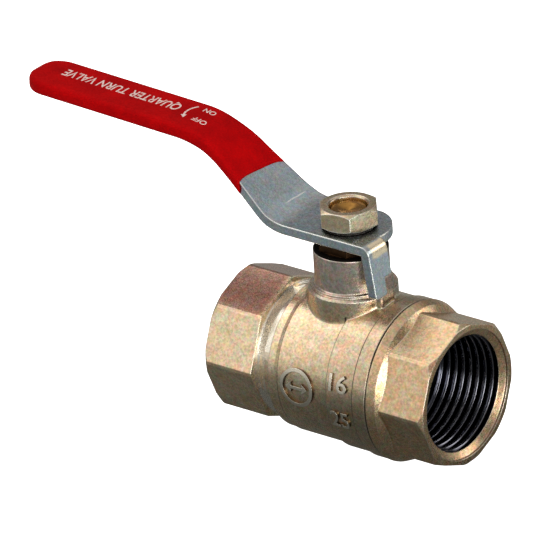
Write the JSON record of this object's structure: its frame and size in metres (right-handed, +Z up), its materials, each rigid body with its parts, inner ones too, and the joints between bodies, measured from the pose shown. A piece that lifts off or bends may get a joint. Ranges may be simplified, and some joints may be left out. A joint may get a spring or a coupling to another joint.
{
  "type": "ball valve",
  "caption": "Female-threaded two-piece ball valve with octagonal pipe ends, cranked steel lever and soft sleeve grip, turning a quarter turn.",
  "frame": {"origin": "centre of the ball, where the pipe axis crosses the stem axis", "axes": "+X along the pipe axis towards the end cap (outlet), +Z up the stem axis, +Y the side the lever swings to when it closes"},
  "size_m": [0.1362, 0.0428, 0.0824],
  "materials": {
    "nickel_plated_brass": "blasted forging with satin nickel plate",
    "chromed_brass": "polished hard chrome",
    "bare_brass": "turned bare brass",
    "seat_ptfe": "machined PTFE",
    "seal_rubber": "moulded nitrile rubber",
    "zinc_plated_steel": "bright zinc plate",
    "red_vinyl": "dip-moulded soft vinyl, satin"
  },
  "bodies": {
    "valve_body": {"body": "nickel_plated_brass", "end_cap": "nickel_plated_brass", "body_o_ring": "seal_rubber", "seat_inlet": "seat_ptfe", "seat_outlet": "seat_ptfe", "stem_thrust_washer": "seat_ptfe", "packing_ring_lower": "seat_ptfe", "packing_ring_upper": "seat_ptfe", "gland_nut": "bare_brass"},
    "handle": {"stem": "bare_brass", "stem_o_ring": "seal_rubber", "lever": "zinc_plated_steel", "lever_grip": "red_vinyl", "lock_washer": "zinc_plated_steel", "lever_nut": "zinc_plated_steel"},
    "ball": {"ball": "chromed_brass"}
  },
  "joints": [
    {"name": "stem_turn", "type": "hinge", "parent": "valve_body", "child": "handle", "pos_m": [0, 0, 0], "axis": [0, 0, -1], "range_deg": [0, 90]},
    {"name": "ball_turn", "type": "hinge", "parent": "valve_body", "child": "ball", "pos_m": [0, 0, 0], "axis": [0, 0, -1], "range_deg": [0, 90]}
  ],
  "couplings": [
    {"joint": "ball_turn", "follows": "stem_turn", "ratio": 1}
  ]
}
